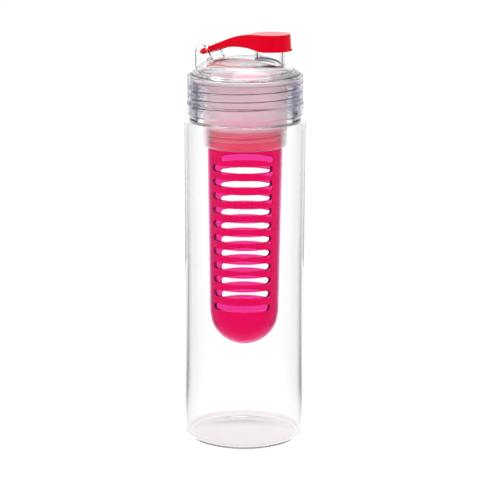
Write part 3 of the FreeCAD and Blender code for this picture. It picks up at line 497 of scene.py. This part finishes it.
def make_cap():
    """Flip cap: the plan loop is carried from the hollow's roof down its inside, round the lower edge, up the
    outside with a slight lean, over the top edge and in over the top. Heights come from the side view, and
    both ends close on the middle line. The hinge barrel, the cup's back wall and the lip are added."""
    top, under = cap_side()
    loop = cap_plan()
    out = normals(loop)

    def height_top(x):
        return np.interp(x, top[:, 0], top[:, 1])

    def height_under(x):
        return np.interp(x, under[:, 0], under[:, 1])

    def ring(inset, share, lean=0.0):
        """Loop moved in by inset, at a share of the way from the underside to the top."""
        plan = loop - inset * out
        low, high = height_under(plan[:, 0]), height_top(plan[:, 0])
        plan = plan + lean * (high - low)[:, None] * (1 - share) * out
        return np.column_stack([plan, low + share * (high - low)])

    def sheet(inset, width, level):
        """Loop drawn in towards the middle line, at a height given by X."""
        plan = (loop - inset * out) * [1, width]
        return np.column_stack([plan, level(plan[:, 0])])

    def roof(x):
        """Underside of the skin, which comes down to the lever's underside next to the barrel."""
        open_share = np.clip((x - HOLLOW_START) / HOLLOW_RUN, 0, 1)
        return height_under(x) + open_share * (height_top(x) - CAP_SKIN - height_under(x)) + 0.02

    rows = [sheet(CAP_WALL, width, roof) for width in (0, 0.35, 0.7, 0.95, 1.0)]
    inside = ring(CAP_WALL, 0.04)
    inside[:, 2] = np.minimum(inside[:, 2], rows[-1][:, 2])
    rows += [inside, ring(CAP_WALL - 0.25, 0.0), ring(CAP_EDGE, 0.0, SIDE_LEAN)]
    rows += [ring(0.0, share, SIDE_LEAN) for share in (0.035, 0.35, 0.7)]
    for bend in np.linspace(0, math.pi / 2, 7):
        row = ring(CAP_EDGE * (1 - math.cos(bend)), 1.0)
        row[:, 2] -= CAP_EDGE * (1 - math.sin(bend))
        rows.append(row)
    rows += [sheet(CAP_EDGE, width, height_top) for width in (0.96, 0.8, 0.5, 0.2, 0)]
    cap = surface("flip_cap_shell", np.array(rows))

    barrel = crosswise(circle(HINGE_X, HINGE_Z, BARREL_RADIUS), -BARREL_HALF, BARREL_HALF, 0.3)
    bore = crosswise(circle(HINGE_X, HINGE_Z, BARREL_BORE), -BARREL_HALF - 2, BARREL_HALF + 2, 0.1)

    cup = turned(np.array([(CUP_MIDDLE, 0), (CUP_OUTSIDE, 0), (CUP_OUTSIDE, CUP_CEILING),
                           (CUP_INSIDE, CUP_CEILING), (CUP_INSIDE, 0)]), centre=SPOUT_X)
    lower = [0, 1, 4]
    cup[lower, :, 2] = height_under(cup[lower, :, 0]) + 0.15

    lip_loop = outline([(LIP_BACK, 0, 0), (LIP_BACK, -LIP_HALF, 0.3), (CAP_TIP, -LIP_HALF, 1.2),
                        (CAP_TIP, LIP_HALF, 1.2), (LIP_BACK, LIP_HALF, 0.3), (LIP_BACK, 0, 0)])[:-1]
    lip_loop[:, 0] = np.maximum(lip_loop[:, 0], LIP_ROOT)
    lip = slab(even(lip_loop, 100), CAP_BOTTOM + 0.03, CAP_BOTTOM + LIP_THICKNESS, LIP_ROUND)
    return combine(
        cap,
        ("UNION", surface("cap_barrel", barrel)),
        ("UNION", surface("cup_back_wall", cup, ring=True)),
        ("UNION", surface("cap_lip", lip)),
        ("DIFFERENCE", surface("barrel_bore", bore)),
    )


def make_seal():
    """Spout seal: a soft disc under the cup's roof with a tapered plug that goes into the spout."""
    low, high = seal_low[2], seal_high[2]
    disc, disc_bottom = seal_high[0] - SPOUT_X, high - DISC_THICKNESS
    profile = outline([(0, low, 0), (PLUG_TIP_RADIUS, low, 0.7), (PLUG_RADIUS, disc_bottom, 0.3),
                       (disc, disc_bottom, 0.4), (disc, high, 0.3), (0, high, 0)])
    return surface("spout_seal_plug", turned(profile, centre=SPOUT_X))


def new_material(name):
    """Material with a Principled shader; returns the material, its node tree and the shader."""
    material = bpy.data.materials.new(name)
    material.use_nodes = True
    return material, material.node_tree, material.node_tree.nodes["Principled BSDF"]


def socket_values(shader, **values):
    """Sets constant sockets; an underscore in a name stands for a space."""
    for name, value in values.items():
        shader.inputs[name.replace("_", " ")].default_value = value


def fill(tree, socket, source):
    """Links a node's output to a socket, or sets the socket to a constant."""
    if isinstance(source, bpy.types.NodeSocket):
        tree.links.new(source, socket)
    else:
        socket.default_value = source


def worked_out(tree, operation, *terms):
    """Result of a Math node on outputs and constants."""
    node = tree.nodes.new("ShaderNodeMath")
    node.operation = operation
    for socket, term in zip(node.inputs, terms):
        fill(tree, socket, term)
    return node.outputs["Value"]


def ranged(tree, source, start, stop, interpolation="LINEAR"):
    """A source carried from the range start to the range stop, and held at both ends."""
    reach = tree.nodes.new("ShaderNodeMapRange")
    reach.interpolation_type = interpolation
    reach.inputs["From Min"].default_value, reach.inputs["From Max"].default_value = start
    reach.inputs["To Min"].default_value, reach.inputs["To Max"].default_value = stop
    tree.links.new(source, reach.inputs["Value"])
    return reach.outputs["Result"]


def blended(tree, way, under, over, share):
    """One colour laid over another by a share from 0 to 1, mixed or multiplied."""
    mix = tree.nodes.new("ShaderNodeMix")
    mix.data_type, mix.blend_type = "RGBA", way
    for name, source in (("Factor", share), ("A", under), ("B", over)):
        fill(tree, mix.inputs[name], source)
    return mix.outputs["Result"]


def mottle(tree, scale, detail=3.0, stretch=(1, 1, 1)):
    """Noise on Object coordinates; stretch scales it along X, Y and Z. Returns its strength output."""
    place = tree.nodes.new("ShaderNodeTexCoord")
    mapping = tree.nodes.new("ShaderNodeMapping")
    noise = tree.nodes.new("ShaderNodeTexNoise")
    mapping.inputs["Scale"].default_value = stretch
    noise.inputs["Scale"].default_value = scale
    noise.inputs["Detail"].default_value = detail
    tree.links.new(place.outputs["Object"], mapping.inputs["Vector"])
    tree.links.new(mapping.outputs["Vector"], noise.inputs["Vector"])
    return noise.outputs["Fac"]


def relief(tree, shader, source, depth, strength):
    """Bump of a given depth in metres."""
    bump = tree.nodes.new("ShaderNodeBump")
    bump.inputs["Strength"].default_value = strength
    bump.inputs["Distance"].default_value = depth
    tree.links.new(source, bump.inputs["Height"])
    tree.links.new(bump.outputs["Normal"], shader.inputs["Normal"])


def tint_ramp(tree, source, stops):
    """Colours along a 0 to 1 source."""
    ramp = tree.nodes.new("ShaderNodeValToRGB")
    line = ramp.color_ramp
    while len(line.elements) < len(stops):
        line.elements.new(0.5)
    for element, (place, colour) in zip(line.elements, stops):
        element.position, element.color = place, (*colour, 1)
    tree.links.new(source, ramp.inputs["Fac"])
    return ramp.outputs["Color"]


def grey_ramp(tree, source, stops):
    """Strengths along a 0 to 1 source."""
    return tint_ramp(tree, source, [(place, (share,) * 3) for place, share in stops])


def by_height(tree, stops):
    """Strength from 0 to 1 that follows the height above the base; stops are (millimetres, strength)."""
    place = tree.nodes.new("ShaderNodeTexCoord")
    parts = tree.nodes.new("ShaderNodeSeparateXYZ")
    tree.links.new(place.outputs["Object"], parts.inputs["Vector"])
    share = ranged(tree, parts.outputs["Z"], (0, CAP_TOP * MM), (0, 1))
    return grey_ramp(tree, share, [(height / CAP_TOP, strength) for height, strength in stops])


def edge_on(tree):
    """How far a wall is turned from the line of sight, for glass: 0 straight on and 1 along itself."""
    weight = tree.nodes.new("ShaderNodeLayerWeight")
    weight.inputs["Blend"].default_value = 0.5
    return weight.outputs["Facing"]


def flank_share(tree):
    """The flanks attribute that surface() keeps, or 0 on a piece without it."""
    flanks = tree.nodes.new("ShaderNodeAttribute")
    flanks.attribute_name = "flanks"
    return flanks.outputs["Fac"]


def noisy_finish(tree, shader, tints, tint_noise, roughness, roughness_noise):
    """Colour and roughness that wander between two tints and two values with noise."""
    tree.links.new(tint_ramp(tree, tint_noise, list(zip(NOISE_REACH, tints))), shader.inputs["Base Color"])
    tree.links.new(ranged(tree, roughness_noise, NOISE_REACH, roughness), shader.inputs["Roughness"])


def clear_plastic(name, tints, absorption, shine, edge_shade_heights, base_shade_tint=(1, 1, 1)):
    """Clear plastic: clean where it is seen straight on, greyer where the wall is seen along itself as
    painted shade for the dark lines at its edges, with a little flow in its surface and a faint tint in its
    depth, given as a colour and a density. The painted edge shade follows the height; the base that it stands
    on gets painted shade with a pink cast, and the flanks of a thread get painted dark lines."""
    material, tree, shader = new_material(name)
    socket_values(shader, Transmission_Weight=1.0, IOR=1.5, Specular_Tint=(shine, shine, shine, 1))
    # Painted shade: the wall greys where it is seen along itself, standing for the dark lines at the edges of
    # clear plastic.
    painted_edge_shade = tint_ramp(tree, edge_on(tree), tints)
    colour = blended(tree, "MIX", (1, 1, 1, 1), painted_edge_shade, by_height(tree, edge_shade_heights))
    # Painted shade with a pink cast, on the bottle's base where it stands on the floor.
    colour = blended(tree, "MULTIPLY", colour, (*base_shade_tint, 1), by_height(tree, BASE_SHADE_HEIGHTS))
    # Painted shade: dark lines on the marked thread flanks.
    colour = blended(tree, "MULTIPLY", colour, FLANK_SHADE, flank_share(tree))
    tree.links.new(colour, shader.inputs["Base Color"])
    tree.links.new(ranged(tree, mottle(tree, 180.0), NOISE_REACH, (0.0, 0.02)), shader.inputs["Roughness"])
    relief(tree, shader, mottle(tree, 45.0, detail=1.0, stretch=(1, 1, 0.35)), depth=0.0006, strength=0.01)
    inside = tree.nodes.new("ShaderNodeVolumeAbsorption")
    depth_tint, density = absorption
    inside.inputs["Color"].default_value = (*depth_tint, 1)
    inside.inputs["Density"].default_value = density
    tree.links.new(inside.outputs["Volume"], tree.nodes["Material Output"].inputs["Volume"])
    return material


def frosted_plastic():
    """Milky pale pink plastic that lets light through and blurs it. The thick throat above the basket's rim
    is milkier than the thin socket round it, and so are a wall that is seen along itself and the thread's
    flanks."""
    material, tree, shader = new_material("frosted_pink_plastic")
    socket_values(shader, IOR=1.2, Specular_Tint=(0.4, 0.4, 0.4, 1))
    socket_end, throat_start = BASKET_TOP - 3, BASKET_TOP + 1
    clear = worked_out(tree, "MINIMUM", by_height(tree, [(0, 1.0), (socket_end, 1.0), (throat_start, 0.8)]),
                       grey_ramp(tree, edge_on(tree), [(0.0, 0.95), (0.45, 0.92), (0.7, 0.3)]))
    off_flanks = worked_out(tree, "MULTIPLY_ADD", flank_share(tree), -0.55, 1.0)
    tree.links.new(worked_out(tree, "MINIMUM", clear, off_flanks), shader.inputs["Transmission Weight"])
    tints = [(1.0, 0.85, 0.88), (1.0, 0.88, 0.9)]
    colour = tint_ramp(tree, mottle(tree, 90.0), list(zip(NOISE_REACH, tints)))
    tree.links.new(colour, shader.inputs["Base Color"])
    blur = by_height(tree, [(0, 0.1), (socket_end, 0.1), (throat_start, 0.7)])
    tree.links.new(blur, shader.inputs["Roughness"])
    relief(tree, shader, mottle(tree, 900.0), depth=0.0002, strength=0.06)
    return material


def basket_plastic():
    """Clear plastic with a strong pink tint: two walls behind each other are deep pink, and one is paler."""
    material, tree, shader = new_material("deep_pink_plastic")
    socket_values(shader, Transmission_Weight=0.96, IOR=1.3, Specular_Tint=(0.4, 0.0, 0.05, 1))
    noisy_finish(tree, shader, [(0.91, 0.035, 0.30), (0.92, 0.045, 0.32)],
                 mottle(tree, 55.0, stretch=(1, 1, 0.3)), (0.02, 0.06), mottle(tree, 260.0))
    relief(tree, shader, mottle(tree, 700.0), depth=0.0002, strength=0.05)
    return material


def cap_plastic():
    """Red moulded plastic, semi-gloss, with the fine grain of its mould."""
    material, tree, shader = new_material("red_moulded_plastic")
    socket_values(shader, IOR=1.5, Specular_Tint=(0.9, 0.04, 0.08, 1))
    noisy_finish(tree, shader, [(0.70, 0.0, 0.014), (0.76, 0.002, 0.02)], mottle(tree, 120.0),
                 (0.18, 0.22), mottle(tree, 600.0))
    relief(tree, shader, mottle(tree, 1800.0, detail=2.0), depth=0.00002, strength=0.03)
    return material


def silicone():
    """Pale translucent silicone, soft sheen."""
    material, tree, shader = new_material("pale_silicone")
    socket_values(shader, Transmission_Weight=0.25, IOR=1.41)
    cloud = mottle(tree, 150.0)
    noisy_finish(tree, shader, [(0.94, 0.94, 0.95), (0.98, 0.98, 0.98)], cloud, (0.35, 0.5), cloud)
    relief(tree, shader, mottle(tree, 1200.0), depth=0.0001, strength=0.1)
    return material


def settle(piece, body, material, node):
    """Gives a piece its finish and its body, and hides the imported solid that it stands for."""
    piece.data.materials.clear()
    piece.data.materials.append(material)
    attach(piece, body)
    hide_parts(node)


def largest(tree, first, *others):
    """The largest of some strengths."""
    for other in others:
        first = worked_out(tree, "MAXIMUM", first, other)
    return first


def white_towards(tree, way, middle, edge):
    """How white the surroundings are in a direction: fully near a middle direction, as on a white sheet of
    limited width, and grey past its edge. The edge is where the fading begins and ends, as parts along the
    middle."""
    along = tree.nodes.new("ShaderNodeVectorMath")
    along.operation = "DOT_PRODUCT"
    along.inputs[1].default_value = middle
    tree.links.new(way, along.inputs[0])
    return ranged(tree, along.outputs["Value"], edge, (SIDE_GREY, 1.0), "SMOOTHSTEP")


def straight_through(tree, path):
    """1 for rays that have only gone through clear plastic, 0 for rays mirrored or scattered on their way."""
    turns = worked_out(tree, "ADD", path.outputs["Glossy Depth"], path.outputs["Diffuse Depth"])
    return worked_out(tree, "LESS_THAN", turns, 0.5)


def light_seen(tree):
    """The Light Path node, and 1 for rays that show the background: from the camera, mirrored or through
    clear plastic."""
    path = tree.nodes.new("ShaderNodeLightPath")
    names = ("Is Camera Ray", "Is Glossy Ray", "Is Transmission Ray")
    return path, largest(tree, *[path.outputs[name] for name in names])


def by_ray(tree, share, hidden, shown, output):
    """Joins two shaders, the second by a share from 0 to 1, into the tree's output node."""
    mix = tree.nodes.new("ShaderNodeMixShader")
    for socket, source in zip(mix.inputs, (share, hidden.outputs[0], shown.outputs[0])):
        tree.links.new(source, socket)
    tree.links.new(mix.outputs["Shader"], tree.nodes.new(output).inputs["Surface"])


def make_floor():
    """Pale floor: white where it is seen, also through clear plastic, apart from the object's faint shadow,
    and plain for other light. Mirrored it is white near the object and ahead, and grey to the sides."""
    corners = [(-FLOOR_HALF, -FLOOR_HALF, 0), (FLOOR_HALF, -FLOOR_HALF, 0), (FLOOR_HALF, FLOOR_HALF, 0),
               (-FLOOR_HALF, FLOOR_HALF, 0)]
    mesh = bpy.data.meshes.new("floor")
    mesh.from_pydata(corners, [], [(0, 1, 2, 3)])
    floor = bpy.data.objects.new("floor", mesh)
    bpy.context.scene.collection.objects.link(floor)
    material = bpy.data.materials.new("pale_floor")
    material.use_nodes = True
    tree = material.node_tree
    tree.nodes.clear()
    path, seen = light_seen(tree)
    place = tree.nodes.new("ShaderNodeTexCoord")
    way = tree.nodes.new("ShaderNodeVectorMath")
    away = tree.nodes.new("ShaderNodeVectorMath")
    way.operation, away.operation = "NORMALIZE", "LENGTH"
    for node in (way, away):
        tree.links.new(place.outputs["Object"], node.inputs[0])
    white = largest(
        tree,
        ranged(tree, away.outputs["Value"], MIRRORED_WHITE, (1.0, SIDE_GREY)),
        white_towards(tree, way.outputs["Vector"], SWEEP_MIDDLE, SWEEP_EDGE),
        straight_through(tree, path),
        path.outputs["Is Camera Ray"],
    )
    level = ranged(tree, away.outputs["Value"], RAISED_WHITE, WHITE_LEVELS)
    plain = tree.nodes.new("ShaderNodeBsdfDiffuse")
    plain.inputs["Color"].default_value = FLOOR_COLOUR
    glow = tree.nodes.new("ShaderNodeEmission")
    tree.links.new(worked_out(tree, "MULTIPLY", white, level), glow.inputs["Strength"])
    by_ray(tree, worked_out(tree, "MULTIPLY", seen, WHITE_SHARE), plain, glow, "ShaderNodeOutputMaterial")
    mesh.materials.append(material)


def make_air():
    """White surroundings: pure white to the camera, also through clear plastic. Mirrored they are white ahead
    and above and grey to the sides, as in a studio with a white sweep and a lamp tent. Other light is an
    even, plain level, also where it has come through clear plastic to a piece inside."""
    world = bpy.data.worlds.new("studio")
    bpy.context.scene.world = world
    world.use_nodes = True
    tree = world.node_tree
    tree.nodes.clear()
    path, seen = light_seen(tree)
    way = tree.nodes.new("ShaderNodeTexCoord").outputs["Generated"]
    white = largest(
        tree,
        white_towards(tree, way, SWEEP_MIDDLE, SWEEP_EDGE),
        white_towards(tree, way, TENT_MIDDLE, TENT_EDGE),
        straight_through(tree, path),
        worked_out(tree, "MINIMUM", path.outputs["Diffuse Depth"], PLAIN_LIGHT),
        path.outputs["Is Camera Ray"],
    )
    even_light, shown = tree.nodes.new("ShaderNodeBackground"), tree.nodes.new("ShaderNodeBackground")
    for light, strength in ((even_light, PLAIN_LIGHT), (shown, white)):
        light.inputs["Color"].default_value = (1, 1, 1, 1)
        fill(tree, light.inputs["Strength"], strength)
    by_ray(tree, seen, even_light, shown, "ShaderNodeOutputWorld")


def make_lamp(name, place, size, watts):
    """Soft square lamp aimed at the bottle's middle."""
    lamp = bpy.data.lights.new(name, "AREA")
    lamp.size, lamp.energy = size, watts
    holder = bpy.data.objects.new(name, lamp)
    holder.location = place
    aim = Vector(LAMP_AIM) - Vector(place)
    holder.rotation_euler = aim.to_track_quat("-Z", "Y").to_euler()
    bpy.context.scene.collection.objects.link(holder)


def make_camera():
    """Camera of the photograph: from the spout's near side, looking a little down, with a slight roll."""
    lens = bpy.data.cameras.new("photo_camera")
    lens.lens, lens.sensor_width = LENS_LENGTH, SENSOR_WIDTH
    camera = bpy.data.objects.new("photo_camera", lens)
    camera.location = CAMERA_PLACE
    aim = Euler((math.radians(90 - LOOK_DOWN), 0, math.radians(LOOK_ROUND))).to_matrix()
    roll = Euler((0, 0, math.radians(CAMERA_ROLL))).to_matrix()
    camera.rotation_euler = (aim @ roll).to_euler()
    bpy.context.scene.collection.objects.link(camera)
    bpy.context.scene.camera = camera


make_camera()
make_floor()
make_air()
make_lamp("key_lamp", place=(-0.95, -0.95, 1.0), size=0.9, watts=12.0)
make_lamp("fill_lamp", place=(1.25, -0.55, 0.8), size=0.9, watts=8.0)
make_lamp("top_lamp", place=(0.1, 0.25, 1.5), size=0.8, watts=7.0)
bpy.context.scene.view_settings.view_transform = "Standard"
bpy.context.scene.cycles.max_bounces = 32
bpy.context.scene.cycles.transmission_bounces = 32
bpy.context.scene.cycles.glossy_bounces = 8

# In both clear plastics below, the tints are painted edge shade, from a wall seen straight on to one seen
# along itself; the heights say where that shade is painted, and the bottle's base tint is painted shade with
# a pink cast.
bottle_plastic = clear_plastic(
    "clear_bottle_plastic",
    tints=[(0.0, (1, 1, 1)), (0.7, (0.99, 0.99, 0.995)), (0.88, (0.7, 0.7, 0.74)), (1.0, (0.4, 0.4, 0.44))],
    absorption=((0.6, 0.58, 0.62), 4.0), shine=0.1,
    edge_shade_heights=[(0, 1.0), (188, 1.0), (194, 0.0)], base_shade_tint=(0.85, 0.8, 0.84))
lid_plastic = clear_plastic(
    "clear_lid_plastic",
    tints=[(0.0, (0.99, 0.985, 1.0)), (0.25, (0.97, 0.96, 0.99)), (0.45, (0.75, 0.73, 0.86)),
           (0.8, (0.7, 0.68, 0.82)), (1.0, (0.4, 0.39, 0.45))],
    absorption=((0.5, 0.48, 0.62), 4.0), shine=0.6,
    edge_shade_heights=[(0, 0.3), (199.5, 0.3), (202, 1.0), (221, 1.0), (225, 0.1)])
red_plastic = cap_plastic()
soft_silicone = silicone()

bottle = make_bottle()
settle(bottle, "bottle", bottle_plastic, "bottle_body")
lid = make_lid()
settle(lid, "screw_lid", lid_plastic, "lid")
settle(make_gasket(), "gasket", soft_silicone, "lid_gasket")
settle(make_collar(), "infuser", frosted_plastic(), "infuser_collar")
settle(make_basket(), "basket", basket_plastic(), "infuser_basket")
settle(make_cap(), "cap", red_plastic, "flip_cap")
settle(make_seal(), "cap", soft_silicone, "spout_seal")
for clear_piece in (bottle, lid):
    clear_piece.visible_shadow = False
for pin_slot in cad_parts["hinge_pin"].material_slots:
    pin_slot.material = red_plastic
